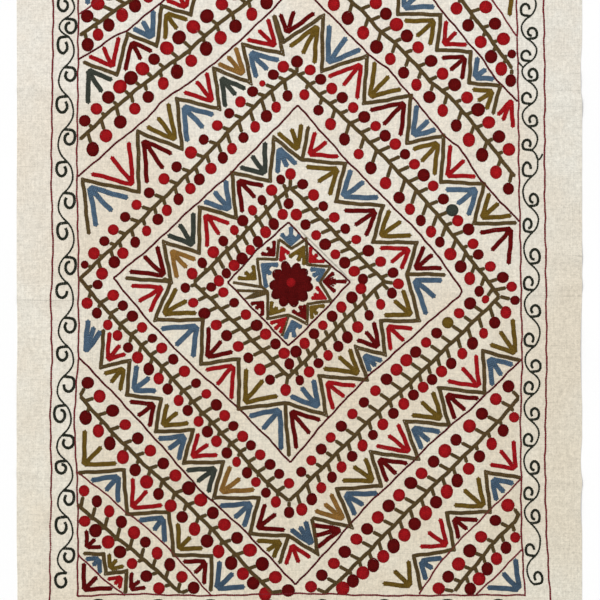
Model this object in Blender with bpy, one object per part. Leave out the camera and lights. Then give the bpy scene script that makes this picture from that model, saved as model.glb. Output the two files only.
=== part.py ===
"""Suzani embroidered textile, laid out flat: one width of cotton cloth with its stitching.

Metres, +Z up. The origin is the middle of the underside, on the surface that the cloth lies on.
+Y runs along the length and +X from selvedge to selvedge. The cloth and its chain stitch are
one closed sheet. It lies flat but for three creases from being stored folded in four, soft
puckers in the bare margins, and the double thickness of its end hems.
"""

import bmesh
import bpy

# Driving sizes of the cloth
WIDTH = 1.130
LENGTH = 1.500
THICKNESS = 0.0018
MARGIN = 0.072

# End hems: each end is turned up once and stitched down
HEM_DEPTH = 0.014
HEM_STEP = 0.003
HEM_RISE = 0.0007

# Storage creases: each is a soft ridge from side to side, named by its height up the cloth
CREASE_HALF = 0.018
CREASE_ROWS = (-1.0, -0.5, 0.0, 0.5, 1.0)
#   y at left, y at right, rise in the margins, rise across the embroidery
CREASES = (
    (-0.378, -0.396, 0.0022, 0.0009),
    (-0.030, -0.002, 0.0024, 0.0008),
    (0.390, 0.368, 0.0020, 0.0009),
)

# Soft puckers: x, y, half reach along x, half reach along y, rise
PUCKERS = (
    (0.545, 0.410, 0.110, 0.030, 0.0026),
    (0.550, 0.352, 0.130, 0.026, 0.0030),
    (0.535, 0.056, 0.120, 0.030, 0.0028),
    (0.555, -0.130, 0.060, 0.090, 0.0022),
    (0.550, -0.440, 0.090, 0.045, 0.0026),
    (-0.520, -0.500, 0.026, 0.120, 0.0024),
    (-0.535, 0.180, 0.050, 0.150, 0.0016),
    (-0.540, -0.230, 0.045, 0.100, 0.0018),
    (-0.180, 0.730, 0.160, 0.045, 0.0022),
    (0.260, -0.728, 0.150, 0.045, 0.0022),
)

# Where a selvedge draws in: side (-1 left, +1 right), y, half reach, depth
EDGE_DIPS = (
    (1, 0.420, 0.075, 0.0030),
    (1, -0.132, 0.120, 0.0032),
    (1, -0.352, 0.050, 0.0026),
    (1, -0.445, 0.050, 0.0030),
    (-1, 0.330, 0.260, 0.0008),
    (-1, -0.100, 0.120, 0.0014),
    (-1, -0.620, 0.120, 0.0016),
)

# Where an end draws in: end (-1 bottom, +1 top), x, half reach, depth
END_DIPS = (
    (1, -0.200, 0.220, 0.0040),
    (1, 0.380, 0.160, 0.0030),
    (-1, 0.060, 0.300, 0.0040),
    (-1, -0.420, 0.120, 0.0028),
)
END_REACH = 0.060

# Mesh density
MARGIN_STEPS = 4
FIELD_STEPS = 16
SECTION_STEPS = 11

COTTON_COLOUR = (0.80, 0.75, 0.66, 1.0)
COTTON_ROUGHNESS = 0.92


def bump(distance, reach):
    """A soft hump: 1 at its middle, falling to exactly 0 at its reach."""
    t = distance / reach
    return (1.0 - t * t) ** 2 if abs(t) < 1.0 else 0.0


def smooth_step(value, start, end):
    """0 before start, 1 past end, and a smooth rise between them."""
    t = min(1.0, max(0.0, (value - start) / (end - start)))
    return t * t * (3.0 - 2.0 * t)


def steps_between(start, end, count):
    """Evenly spaced values from start to end, without the two ends."""
    return [start + (end - start) * i / count for i in range(1, count)]


def column_places():
    """The x of each column of the mesh, closer together in the bare margins."""
    half = WIDTH / 2
    inner = half - MARGIN
    return (
        [-half]
        + steps_between(-half, -inner, MARGIN_STEPS)
        + [-inner]
        + steps_between(-inner, inner, FIELD_STEPS)
        + [inner]
        + steps_between(inner, half, MARGIN_STEPS)
        + [half]
    )


def row_places():
    """Each row of the mesh as its y at the left and at the right: rows follow the creases."""
    half = LENGTH / 2
    hem = half - HEM_DEPTH
    rows = [(-half, -half), (-hem, -hem), (-hem + HEM_STEP, -hem + HEM_STEP)]
    for left, right, _, _ in CREASES:
        below = rows[-1]
        reach = CREASE_HALF * CREASE_ROWS[0]
        lefts = steps_between(below[0], left + reach, SECTION_STEPS)
        rights = steps_between(below[1], right + reach, SECTION_STEPS)
        rows += zip(lefts, rights)
        rows += [(left + CREASE_HALF * k, right + CREASE_HALF * k) for k in CREASE_ROWS]
    top = hem - HEM_STEP
    lefts = steps_between(rows[-1][0], top, SECTION_STEPS)
    rights = steps_between(rows[-1][1], top, SECTION_STEPS)
    rows += zip(lefts, rights)
    return rows + [(top, top), (hem, hem), (half, half)]


def crease_lift(x, y):
    """How far the storage creases lift the cloth at a point."""
    lift = 0.0
    across = x / WIDTH + 0.5
    in_margin = smooth_step(abs(x), WIDTH / 2 - 2.0 * MARGIN, WIDTH / 2 - 0.5 * MARGIN)
    for left, right, margin_rise, field_rise in CREASES:
        line = left + (right - left) * across
        rise = field_rise + (margin_rise - field_rise) * in_margin
        lift += rise * bump(y - line, CREASE_HALF)
    return lift


def pucker_lift(x, y):
    """How far the soft puckers lift the cloth at a point."""
    return sum(
        rise * bump(x - px, reach_x) * bump(y - py, reach_y)
        for px, py, reach_x, reach_y, rise in PUCKERS
    )


def drawn_in(x, y):
    """The point moved to where the wavering selvedges and ends put it."""
    side = 1 if x > 0 else -1
    end = 1 if y > 0 else -1
    at_side = smooth_step(abs(x), WIDTH / 2 - MARGIN, WIDTH / 2)
    at_end = smooth_step(abs(y), LENGTH / 2 - END_REACH, LENGTH / 2)
    inward_x = sum(d * bump(y - py, reach) for s, py, reach, d in EDGE_DIPS if s == side)
    inward_y = sum(d * bump(x - px, reach) for e, px, reach, d in END_DIPS if e == end)
    return x - side * at_side * inward_x, y - end * at_end * inward_y


def build_sheet():
    """The cloth as one closed sheet: an upper and a lower skin joined round the edge."""
    columns = column_places()
    rows = row_places()
    hem_line = LENGTH / 2 - HEM_DEPTH
    mesh = bmesh.new()
    upper = []
    lower = []
    for left, right in rows:
        upper_row = []
        lower_row = []
        for x in columns:
            y = left + (right - left) * (x / WIDTH + 0.5)
            lift = crease_lift(x, y) + pucker_lift(x, y)
            hem = HEM_RISE if abs(y) >= hem_line - HEM_STEP / 2 else 0.0
            place_x, place_y = drawn_in(x, y)
            upper_row.append(mesh.verts.new((place_x, place_y, lift + THICKNESS + hem)))
            lower_row.append(mesh.verts.new((place_x, place_y, lift)))
        upper.append(upper_row)
        lower.append(lower_row)

    for row, next_row in zip(upper, upper[1:]):
        for a, b, c, d in zip(row, row[1:], next_row[1:], next_row):
            mesh.faces.new((a, b, c, d))
    for row, next_row in zip(lower, lower[1:]):
        for a, b, c, d in zip(row, row[1:], next_row[1:], next_row):
            mesh.faces.new((d, c, b, a))

    top_rim = outline(upper)
    low_rim = outline(lower)
    for i, start in enumerate(top_rim):
        after = (i + 1) % len(top_rim)
        mesh.faces.new((start, low_rim[i], low_rim[after], top_rim[after]))
    return mesh


def outline(grid):
    """The edge points of a grid of vertices, in order anticlockwise seen from above."""
    bottom = grid[0]
    right = [row[-1] for row in grid[1:]]
    top = grid[-1][-2::-1]
    left = [row[0] for row in grid[-2:0:-1]]
    return bottom + right + top + left


def cotton_material():
    """Plain undyed cotton, as seen from a step away."""
    material = bpy.data.materials.new("cotton_ground")
    material.use_nodes = True
    shader = material.node_tree.nodes["Principled BSDF"]
    shader.inputs["Base Color"].default_value = COTTON_COLOUR
    shader.inputs["Roughness"].default_value = COTTON_ROUGHNESS
    shader.inputs["Metallic"].default_value = 0.0
    return material


def add_ground_cloth():
    """Adds the cloth to the scene as one object."""
    data = bpy.data.meshes.new("ground_cloth")
    mesh = build_sheet()
    mesh.to_mesh(data)
    mesh.free()
    data.shade_smooth()
    data.materials.append(cotton_material())
    cloth = bpy.data.objects.new("ground_cloth", data)
    bpy.context.scene.collection.objects.link(cloth)


for item in list(bpy.data.objects):
    bpy.data.objects.remove(item)
add_ground_cloth()
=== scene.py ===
"""The suzani hanging laid out flat, dressed: its cotton ground and every stitch of its embroidery.

Metres, +Z up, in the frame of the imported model. The chart of the embroidery is in millimetres.
The cloth lies on a pale floor and the camera looks straight down on it.
"""

import math
import random

import bpy
import numpy as np
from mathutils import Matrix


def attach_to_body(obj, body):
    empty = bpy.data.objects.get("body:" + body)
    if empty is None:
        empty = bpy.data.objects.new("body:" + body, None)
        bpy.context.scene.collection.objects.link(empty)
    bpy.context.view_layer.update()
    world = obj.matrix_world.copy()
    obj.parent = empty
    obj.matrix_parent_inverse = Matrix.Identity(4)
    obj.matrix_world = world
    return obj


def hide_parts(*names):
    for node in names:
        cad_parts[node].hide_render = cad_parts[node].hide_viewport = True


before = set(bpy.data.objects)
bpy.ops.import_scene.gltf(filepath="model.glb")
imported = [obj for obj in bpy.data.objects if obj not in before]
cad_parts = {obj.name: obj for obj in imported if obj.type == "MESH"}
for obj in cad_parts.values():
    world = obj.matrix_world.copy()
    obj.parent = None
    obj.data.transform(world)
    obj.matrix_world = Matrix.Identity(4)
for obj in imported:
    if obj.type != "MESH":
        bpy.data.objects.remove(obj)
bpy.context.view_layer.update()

MM = 0.001

# The chart of the embroidery, in millimetres: +x to the right selvedge, +y up the cloth, and the
# middle of the rosette
CENTRE = (-18.0, 3.0)

# Long lines beside the scrolls: y, outer left, inner left, inner right, outer right
SIDE_LINES = (
    (678, -491, -441, 433, 486),
    (568, -493, -443, 433, 487),
    (400, -495, -444, 436, 489),
    (208, -497, -446, 438, 489),
    (60, -494, -443, 441, 491),
    (-32, -498, -443, 442, 492),
    (-140, -496, -443, 444, 493),
    (-272, -499, -451, 441, 491),
    (-380, -497, -446, 442, 490),
    (-500, -499, -444, 443, 493),
    (-624, -500, -445, 450, 500),
    (-678, -500, -446, 451, 502),
)
OUTER_LEFT, INNER_LEFT, INNER_RIGHT, OUTER_RIGHT = 1, 2, 3, 4
# Long lines across the two ends, point by point: the inner and the outer one at the top, then at
# the bottom
END_LINES = (
    ((-441, 624), (-200, 621), (40, 624), (240, 622), (433, 624)),
    ((-491, 678), (-220, 676), (60, 678), (300, 675), (486, 678)),
    ((-445, -624), (-330, -620), (-190, -623), (0, -619), (170, -623), (330, -622), (450, -622)),
    ((-500, -678), (-250, -675), (0, -677), (250, -675), (502, -678)),
)

# Curls of each scroll, in order along its band: place along, side of the band (-1 is left or
# lower), and how tall it is for its scroll
LEFT_CURLS = (
    (610, 1, 1.0), (560, -1, 1.0), (516, 1, 1.0), (478, -1, 1.16), (420, 1, 0.95), (359, -1, 1.12),
    (294, 1, 1.05), (230, -1, 1.0), (167, 1, 1.05), (106, -1, 1.14), (37, 1, 1.18), (-13, -1, 1.0),
    (-82, 1, 1.02), (-139, -1, 0.96), (-200, 1, 1.05), (-259, -1, 1.15), (-315, 1, 0.90),
    (-366, -1, 0.86), (-427, 1, 1.0), (-482, -1, 1.15), (-542, 1, 0.95), (-592, -1, 1.0),
)
RIGHT_CURLS = (
    (-588, 1, 1.0), (-532, -1, 0.95), (-465, 1, 1.1), (-419, -1, 1.0), (-367, 1, 1.05), (-312, -1, 1.0),
    (-260, 1, 0.95), (-208, -1, 1.0), (-164, 1, 0.95), (-112, -1, 1.05), (-54, 1, 0.95), (1, -1, 1.1),
    (55, 1, 1.2), (117, -1, 1.1), (168, 1, 1.0), (229, -1, 1.15), (278, -1, 0.85), (326, 1, 0.90),
    (371, -1, 0.90), (418, 1, 1.0), (456, -1, 0.85), (501, 1, 0.90), (548, -1, 1.0), (598, 1, 1.0),
    (640, -1, 1.0),
)
END_CURLS = (
    (-404, 1, 1.0), (-346, -1, 1.1), (-284, 1, 0.95), (-232, -1, 1.0), (-180, 1, 1.1), (-122, -1, 0.95),
    (-66, 1, 1.05), (-10, -1, 1.0), (44, 1, 0.9), (106, -1, 1.1), (168, 1, 1.0), (230, -1, 0.95),
    (294, 1, 1.1), (346, -1, 1.0), (396, 1, 0.95),
)

# Small hooks on the right scroll
HOOKS = (
    ((472, 258), (475, 249), (479, 249), (485, 260)),
    ((435, 445), (446, 433)),
)

# Diamond lines, point by point
DIAMOND_LINES = (
    ((-23, 123), (-86, 68), (-144, 3), (-84, -60), (-23, -124), (38, -64), (100, 4), (37, 60), (-23, 123)),
    (
        (-4, 357), (-64, 296), (-140, 220), (-216, 152), (-296, 76), (-373, 12), (-308, -68), (-220, -160),
        (-140, -232), (-64, -308), (-19, -357), (52, -272), (132, -188), (200, -128), (280, -56),
        (320, -24), (324, -14), (288, 40), (240, 100), (176, 164), (96, 244), (-4, 357),
    ),
    (
        (-443, 215), (-360, 288), (-304, 332), (-280, 362), (-208, 412), (-140, 468), (-68, 536),
        (0, 606), (30, 568), (82, 516), (136, 460), (176, 430), (256, 336), (288, 296), (316, 276),
        (364, 204), (438, 125),
    ),
    (
        (-443, -146), (-360, -232), (-280, -320), (-200, -412), (-120, -484), (-40, -568), (-9, -601),
        (52, -536), (132, -444), (200, -380), (272, -308), (348, -244), (443, -151),
    ),
    ((-443, 448), (-408, 470), (-376, 492), (-344, 508), (-320, 528), (-272, 568), (-206, 622)),
    ((220, 622), (266, 568), (332, 488), (360, 456), (396, 404), (435, 365)),
)
# Lines across the corners in the redder thread
CORNER_LINES = (
    ((-446, -376), (-400, -410), (-348, -456), (-300, -492), (-252, -540), (-178, -622)),
    ((442, -390), (400, -432), (352, -480), (308, -524), (272, -568), (238, -620)),
    ((-441, 540), (-380, 584), (-330, 622)),
    ((356, 622), (384, 568), (433, 496)),
    ((-443, -541), (-400, -584), (-350, -623)),
    ((443, -531), (400, -576), (352, -621)),
)

# Zigzags, corner by corner: x, y, thread of the arrow nested in that corner (none on a dash)
ZIGZAGS = (
    # Round the second diamond, clockwise from the left
    (
        (-276, 12, "-"), (-260, 6, "-"), (-274, 86, "ochre"), (-204, 64, "green"), (-202, 156, "red"),
        (-130, 134, "blue"), (-138, 224, "maroon"), (-62, 208, "green"), (-54, 294, "blue"),
        (2, 250, "-"), (88, 242, "olive"), (70, 166, "blue"), (164, 158, "maroon"), (144, 86, "olive"),
        (232, 84, "red"), (212, 22, "-"), (236, -72, "olive"), (160, -72, "red"), (168, -140, "maroon"),
        (110, -124, "blue"), (132, -190, "olive"), (38, -182, "red"), (50, -260, "blue"),
        (-32, -236, "-"), (-124, -248, "olive"), (-124, -148, "red"), (-200, -158, "maroon"),
        (-196, -70, "blue"), (-292, -70, "olive"), (-260, 6, "-"),
    ),
    ((2, 250, "-"), (16, 318, "-")),
    ((212, 22, "-"), (290, 20, "-")),
    ((-32, -236, "-"), (-24, -344, "-")),
    ((-260, 6, "-"), (-352, 14, "-")),
    # Inside the third diamond, upper left, upper right, lower left, lower right
    (
        (-424, 100, "-"), (-436, 210, "blue"), (-324, 186, "red"), (-326, 306, "maroon"),
        (-238, 272, "olive"), (-248, 372, "blue"), (-162, 352, "red"), (-174, 432, "green"),
        (-100, 404, "ochre"), (-116, 480, "blue"), (-36, 462, "red"), (-54, 540, "-"),
    ),
    (
        (-54, 540, "-"), (-34, 486, "-"), (44, 538, "olive"), (42, 428, "blue"), (132, 458, "red"),
        (126, 362, "olive"), (220, 378, "maroon"), (212, 284, "blue"), (286, 298, "olive"),
        (280, 206, "red"), (366, 202, "blue"), (346, 122, "olive"), (432, 124, "-"),
    ),
    (
        (-394, -88, "-"), (-400, -164, "red"), (-342, -152, "olive"), (-348, -220, "blue"),
        (-280, -228, "maroon"), (-290, -294, "olive"), (-216, -290, "blue"), (-234, -356, "red"),
        (-156, -354, "green"), (-174, -426, "ochre"), (-84, -426, "blue"), (-102, -498, "maroon"),
        (-24, -502, "-"), (34, -538, "blue"), (22, -466, "-"),
    ),
    ((-24, -502, "-"), (-44, -558, "-")),
    (
        (22, -466, "-"), (102, -484, "ochre"), (72, -408, "blue"), (160, -402, "olive"),
        (140, -334, "maroon"), (234, -348, "red"), (208, -272, "blue"), (296, -280, "olive"),
        (276, -206, "maroon"), (368, -216, "red"), (364, -132, "blue"), (440, -152, "-"),
    ),
    # Across the four corners, upper left, upper right, lower left, lower right
    (
        (-436, 446, "-"), (-368, 420, "red"), (-346, 502, "maroon"), (-288, 478, "blue"),
        (-278, 558, "olive"), (-220, 540, "red"), (-206, 618, "-"),
    ),
    (
        (196, 616, "-"), (194, 542, "blue"), (280, 540, "olive"), (272, 470, "red"),
        (340, 466, "maroon"), (336, 404, "blue"), (398, 398, "olive"), (384, 340, "-"),
    ),
    (
        (-446, -376, "-"), (-354, -370, "blue"), (-348, -458, "red"), (-264, -454, "blue"),
        (-254, -540, "olive"), (-178, -542, "maroon"), (-180, -614, "-"),
    ),
    (
        (440, -386, "-"), (370, -374, "blue"), (378, -454, "olive"), (292, -456, "maroon"),
        (306, -530, "red"), (226, -542, "blue"), (240, -612, "-"),
    ),
    (
        (-436, -538, "-"), (-394, -538, "blue"), (-390, -578, "olive"), (-348, -572, "red"),
        (-352, -618, "-"),
    ),
)

# Arrows in other angles: corner x, y, one neighbour x, y, the other x, y, thread
CORNER_ARROWS = (
    (2, 250, -54, 294, 16, 318, "olive"),
    (2, 250, 16, 318, 88, 242, "red"),
    (212, 22, 232, 84, 290, 20, "maroon"),
    (212, 22, 290, 20, 236, -72, "blue"),
    (-32, -236, 50, -260, -24, -344, "maroon"),
    (-32, -236, -24, -344, -124, -248, "blue"),
    (-260, 6, -352, 14, -274, 86, "maroon"),
    (-260, 6, -292, -70, -352, 14, "red"),
    (-34, 486, -54, 540, 44, 538, "maroon"),
    (-24, -502, -102, -498, -44, -558, "olive"),
    (-24, -502, -44, -558, 34, -538, "red"),
    (102, -484, 22, -466, 34, -538, "maroon"),
    (432, 124, 346, 122, 432, 20, "maroon"),
    (-438, -156, -438, -60, -392, -98, "blue"),
    (440, -152, 440, -60, 364, -132, "olive"),
    (-436, 446, -368, 420, -440, 350, "green"),
    (430, 391, 386, 349, 434, 311, "red"),
    (-446, -372, -354, -370, -446, -270, "olive"),
    (-180, -618, -176, -545, -100, -618, "blue"),
    (440, -380, 370, -372, 440, -300, "red"),
    (232, -614, 226, -545, 150, -612, "olive"),
    (-438, -536, -394, -536, -440, -488, "maroon"),
    (-352, -618, -348, -572, -306, -618, "maroon"),
    (-446, -622, -446, -540, -350, -622, "maroon"),
    (448, -620, 444, -530, 356, -620, "blue"),
    (434, 624, 434, 514, 356, 624, "olive"),
    (-441, 624, -441, 548, -340, 624, "blue"),
)

# The star round the rosette
STAR = (
    (-42, 89), (-46, 50), (-85, 50), (-79, -4), (-64, -16), (-65, -70), (-24, -61), (14, -80), (15, -40),
    (62, -34), (40, 4), (61, 34), (15, 39), (12, 90), (-17, 71), (-42, 89),
)
STAR_STUBS = (
    ((-134, 3), (-76, -6)),
    ((-126, -13), (-70, -15)),
    ((-23, -63), (-36, -104)),
)
STAR_LEAF = ((-66, -18), (-92, -20), (-108, -29), (-92, -26), (-66, -18))

# Fans in the star's angles: tip x, y, then the ends of the three strokes, and the thread
STAR_FANS = (
    ((-18, 77), (-38, 101), (-18, 115), (1, 99), "blue"),
    ((-51, 56), (-52, 87), (-66, 74), (-78, 61), "maroon"),
    ((-38, 75), (-21, 60), (-31, 47), (-38, 44), "red"),
    ((8, 76), (-22, 53), (-4, 45), (8, 37), "olive"),
    ((19, 43), (22, 75), (35, 60), (50, 46), "red"),
    ((-77, 40), (-43, 38), (-58, 19), (-67, -8), "blue"),
    ((-88, 9), (-94, 38), (-111, 24), (-125, 12), "olive"),
    ((50, 29), (20, 29), (25, 16), (34, 5), "blue"),
    ((46, 5), (68, 23), (94, 5), (71, -16), "maroon"),
    ((53, -30), (32, -5), (27, -20), (22, -28), "red"),
    ((20, -45), (50, -44), (35, -61), (25, -70), "olive"),
    ((-60, -62), (-56, -34), (-45, -46), (-29, -50), "olive"),
    ((12, -71), (9, -41), (-1, -43), (-16, -53), "maroon"),
    ((-73, -35), (-99, -40), (-89, -50), (-76, -64), "maroon"),
    ((-26, -67), (-60, -79), (-51, -91), (-40, -99), "red"),
    ((-16, -73), (3, -88), (-11, -107), (-30, -110), "blue"),
)
# How much shorter a finger's outer rows are, and the rows between two fingers: their length as a
# share, and where they point, from one finger to the next
FAN_ROUNDING = 1.6
FAN_FILL = 0.66
FAN_FILL_PLACES = (0.36, 0.64)

# Petals of the rosette, from the top one clockwise: where each points in degrees, its reach and width
PETALS = (
    (109, 46, 19), (69, 42.5, 19), (38, 42, 21), (10, 43.5, 17), (-14, 46, 22), (-50, 48, 23),
    (-82, 50.5, 21), (-111, 52, 21), (-141, 49, 22), (-170, 44.5, 23), (149, 43, 23),
)
# Half length of a petal, and radii of the disc under the petals and of the red heart
PETAL_HALF = 15.0
ROSETTE_DISC = 30.5
ROSETTE_HEART = 9.3

# Vines: berry radius, stem points, then rows of berries as count, letters of their threads, twig
# x, y to the stem, and points that the row passes, with as many berries between any two
VINES = (
    (
        10.9,
        (
            (-212, 2), (-116, 96), (-20, 194), (74, 98), (168, 6), (74, -88), (-22, -186), (-116, -92),
            (-212, 2),
        ),
        (10, "RM", 0.30, -0.95, (-216, 20), (-123, 117), (-38, 208)),
        (8, "RM", -0.30, 0.95, (-162, 6), (-108, 60), (-53, 120)),
        (9, "MR", -1.0, -0.15, (6, 200), (90, 111), (186, 23)),
        (8, "RM", 1.0, 0.15, (-8, 138), (61, 69), (126, 10)),
        (10, "MRMRMMRMRM", -0.16, 0.99, (184, -18), (85, -116), (0, -192)),
        (8, "RM", 0.16, -0.99, (122, -10), (55, -74), (-8, -136)),
        (8, "RM", 1.0, 0.25, (-213, -37), (-135, -114), (-59, -192)),
        (7, "RM", -1.0, -0.25, (-153, -16), (-87, -82), (-32, -138)),
        (1, "R", 0.0, -1.0, (-19, 220)),
        (1, "R", -1.0, 0.1, (196, 0)),
        (1, "R", 0.1, 1.0, (-28, -212)),
        (1, "M", 1.0, 0.2, (-230, -8)),
        (1, "M", 0.1, 1.0, (-23, 160)),
        (1, "R", 0.0, 1.0, (-34, 140)),
        (1, "M", -1.0, 0.1, (-177, -6)),
        (1, "M", 0.0, -1.0, (-22, -159)),
    ),
    (
        11.3,
        (
            (-442, 9), (-380, 68), (-320, 126), (-248, 196), (-192, 252), (-144, 304), (-92, 354),
            (-44, 398), (-6, 422),
        ),
        (
            18, "mRMRMRMRMRMRMRMrMR", 1.0, -0.05,
            (-431, 39), (-345, 139), (-232, 248), (-124, 359), (-33, 435),
        ),
        (18, "RM", 0.0, 1.0, (-395, 21), (-210, 200), (-25, 376)),
        (1, "M", 0.0, -1.0, (-6, 444)),
    ),
    (
        11.5,
        (
            (-6, 422), (36, 380), (100, 322), (154, 268), (208, 212), (250, 168), (292, 116), (336, 56),
            (399, -25),
        ),
        (15, "RMRMRMRMRMRMRMG", -1.0, -0.2, (20, 428), (95, 362), (171, 297), (238, 229), (305, 148)),
        (2, "RM", -1.0, -0.2, (316, 127), (337, 109)),
        (2, "RM", -1.0, -0.2, (346, 81), (357, 59)),
        (2, "RM", -1.0, -0.1, (381, 35), (406, 13)),
        (2, "RM", -1.0, 0.1, (423, -6), (430, -32)),
        (16, "RM", 0.0, 1.0, (9, 378), (109, 268), (209, 161), (286, 78), (359, -15)),
        (1, "r", 0.4, 1.0, (371, -31)),
    ),
    (
        11.3,
        (
            (399, -25), (336, -86), (280, -140), (220, -198), (160, -252), (96, -316), (32, -380),
            (-22, -434),
        ),
        (17, "MROMRMRRMRMRMRMRM", 1.0, -0.5, (340, -38), (252, -117), (173, -191), (83, -284), (2, -375)),
        (21, "RM", 0.0, 1.0, (412, -57), (303, -158), (207, -240), (104, -344), (3, -451)),
        (1, "M", 0.0, 1.0, (-22, -456)),
    ),
    (
        10.9,
        (
            (-442, 12), (-384, -56), (-320, -120), (-252, -192), (-196, -256), (-136, -320),
            (-72, -392), (-22, -434),
        ),
        (1, "M", -1.0, 0.0, (-404, -1)),
        (
            19, "RMMRMRMRMRMRMRMRMMR", -1.0, -0.45,
            (-374, -22), (-286, -118), (-187, -220), (-107, -314), (-22, -398),
        ),
        (
            20, "RMRRMRMRMRMRMRMRMRMR", 0.0, 1.0,
            (-426, -38), (-329, -142), (-233, -242), (-141, -342), (-49, -435),
        ),
    ),
    (
        12.9,
        (
            (-440, 288), (-388, 338), (-332, 384), (-276, 428), (-220, 468), (-168, 516), (-104, 564),
            (-40, 620),
        ),
        (12, "MR", 0.85, -0.55, (-432, 326), (-366, 389), (-304, 440), (-234, 498), (-156, 559)),
        (2, "RM", 0.85, -0.55, (-131, 580), (-105, 601)),
        (13, "MR", 0.0, 1.0, (-415, 270), (-331, 350), (-246, 424), (-158, 492), (-66, 563)),
        (1, "R", 0.0, 1.0, (-37, 587)),
    ),
    (
        12.6,
        (
            (54, 620), (100, 568), (128, 542), (158, 508), (200, 472), (262, 404), (310, 364), (364, 298),
            (430, 214),
        ),
        (2, "RM", -1.0, -0.2, (108, 608), (130, 584)),
        (13, "RM", -1.0, -0.2, (152, 562), (213, 496), (285, 421), (356, 349), (417, 269)),
        (1, "M", 0.0, 1.0, (41, 587)),
        (14, "RM", 0.0, 1.0, (68, 559), (160, 468), (246, 386), (332, 296), (417, 191)),
    ),
    (
        12.6,
        (
            (-440, -224), (-380, -292), (-312, -360), (-260, -408), (-196, -470), (-152, -516),
            (-112, -560), (-54, -620),
        ),
        (17, "MR", -1.0, -0.05, (-425, -197), (-325, -308), (-223, -408), (-126, -507), (-24, -612)),
        (16, "MR", 0.0, 1.0, (-429, -267), (-336, -365), (-247, -455), (-156, -541), (-69, -620)),
    ),
    (
        12.8,
        (
            (438, -228), (384, -288), (316, -356), (256, -414), (196, -474), (136, -536), (92, -580),
            (48, -620),
        ),
        (18, "MR", 1.0, -0.3, (416, -205), (307, -317), (210, -410), (118, -506), (22, -605)),
        (17, "RM", 0.0, 1.0, (429, -267), (337, -370), (251, -458), (167, -544), (85, -609)),
    ),
    (
        12.4,
        ((-440, 496), (-396, 528), (-350, 560), (-262, 620)),
        (2, "MR", 1.0, -0.1, (-426, 535), (-404, 560)),
        (2, "MR", 1.0, -0.3, (-382, 580), (-360, 602)),
        (5, "MR", 0.0, 1.0, (-425, 479), (-382, 518), (-329, 557)),
        (2, "RM", 0.0, 1.0, (-304, 575), (-280, 595)),
    ),
    (
        12.4,
        ((288, 620), (322, 568), (366, 510), (424, 430)),
        (2, "RM", -1.0, -0.1, (336, 608), (354, 583)),
        (4, "RM", -1.0, -0.1, (372, 553), (398, 505), (425, 460)),
        (1, "M", 0.2, 1.0, (292, 581)),
        (6, "RM", 0.1, 1.0, (313, 551), (372, 469), (422, 406)),
    ),
    (
        12.2,
        ((-446, -440), (-380, -496), (-308, -554), (-238, -618)),
        (10, "RM", 0.0, -1.0, (-431, -413), (-321, -506), (-212, -608)),
        (7, "RM", 1.0, 0.0, (-431, -474), (-360, -536), (-282, -608)),
    ),
    (
        12.4,
        ((428, -449), (437, -461), (430, -476), (400, -502), (364, -546), (308, -614)),
        (7, "RM", 1.0, -0.2, (415, -443), (339, -534), (277, -608)),
        (6, "RM", 0.0, 1.0, (432, -506), (384, -559), (340, -610)),
    ),
)
THREAD_LETTERS = {"R": "red", "M": "maroon", "G": "green", "O": "olive"}
# A small letter stands for a small berry, with this share of the radius
SMALL_BERRY = 0.66

# Length of a stitch, and distance between the rows of each kind of stroke
STITCH_LENGTH = 4.4
LINE_PITCH = 2.9
DIAMOND_PITCH = 3.3
CURL_PITCH = 2.6
VINE_PITCH = 3.0
STEM_PITCH = 2.45
TWIG_PITCH = 2.35
ZIGZAG_PITCH = 2.5
STAR_PITCH = 2.75
FILL_PITCH = 2.6
ARROW_PITCHES = {"red": 2.75, "maroon": 2.85, "olive": 2.9, "green": 3.05, "ochre": 2.95, "blue": 3.2}

# How a hand's line wavers: amount, amount round the star, distance between its points, length of
# the slow and of the quick wave for each radian, share of the quick one, and the furthest that
# either starts into its turn
HAND_WAVER = 0.70
STAR_WAVER = 0.50
WAVER_STEP = 7.0
SLOW_WAVE = 12.0
QUICK_WAVE = 4.9
QUICK_SHARE = 0.6
WAVE_START = 6.3

# Steps between two points of a smooth curve: on lines, scrolls, hooks and rows of berries
LINE_STEPS = 6
SCROLL_STEPS = 4
HOOK_STEPS = 3
BERRY_STEPS = 40

# Scrolls: shift of the side ones off the middle of their bands, sizes beside the left one, and how
# far the end ones are from the middle of the cloth
LEFT_SHIFT = 2.2
RIGHT_SHIFT = -3.3
RIGHT_SIZE = 0.84
END_SIZE = 0.95
END_SCROLL = 650.0
# Curls: half width and how it varies, half height, distance of a curl's middle from the middle of
# the band, and share by which its rows draw together in a smaller scroll
CURL_WIDE = 12.0
CURL_VARIES = (0.92, 1.08)
CURL_TALL = 14.5
CURL_REACH = 6.5
CURL_PITCH_FOLLOWS = 0.6
# A curl's spiral: degrees round it from its joint at 90, share of its size
CURL_SHAPE = (
    (125, 1.04), (160, 1.02), (200, 1.0), (240, 1.02), (275, 1.0), (315, 0.86), (355, 0.70),
    (400, 0.54), (455, 0.42),
)
# How many of those points a curl may stop short by
CURL_STOPS = (0, 0, 1, 1, 2)
# A scroll's vine: distance of its joints from the middle of the band, bulge between two joints,
# power that rounds the bulge, and steps along it
JOINT_REACH = 3.5
VINE_BULGE = 15.0
BULGE_POWER = 0.8
BULGE_STEPS = 8

# Zigzags and arrows: shift of them all, gap from a corner to the arrow's tip, least sine that
# divides it, strokes as shares of the zigzag's sides and how their lengths vary, and how far the
# side strokes close and all strokes lean, in radians
ZIGZAG_SHIFT = (1.8, -1.8)
ARROW_GAP = 11.5
LEAST_SINE = 0.5
ARROW_SIDE_SHARE = 0.72
ARROW_MIDDLE_SHARE = 0.62
ARROW_VARIES = (0.93, 1.06)
ARROW_CLOSING = 0.05
ARROW_LEAN = 0.04
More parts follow.
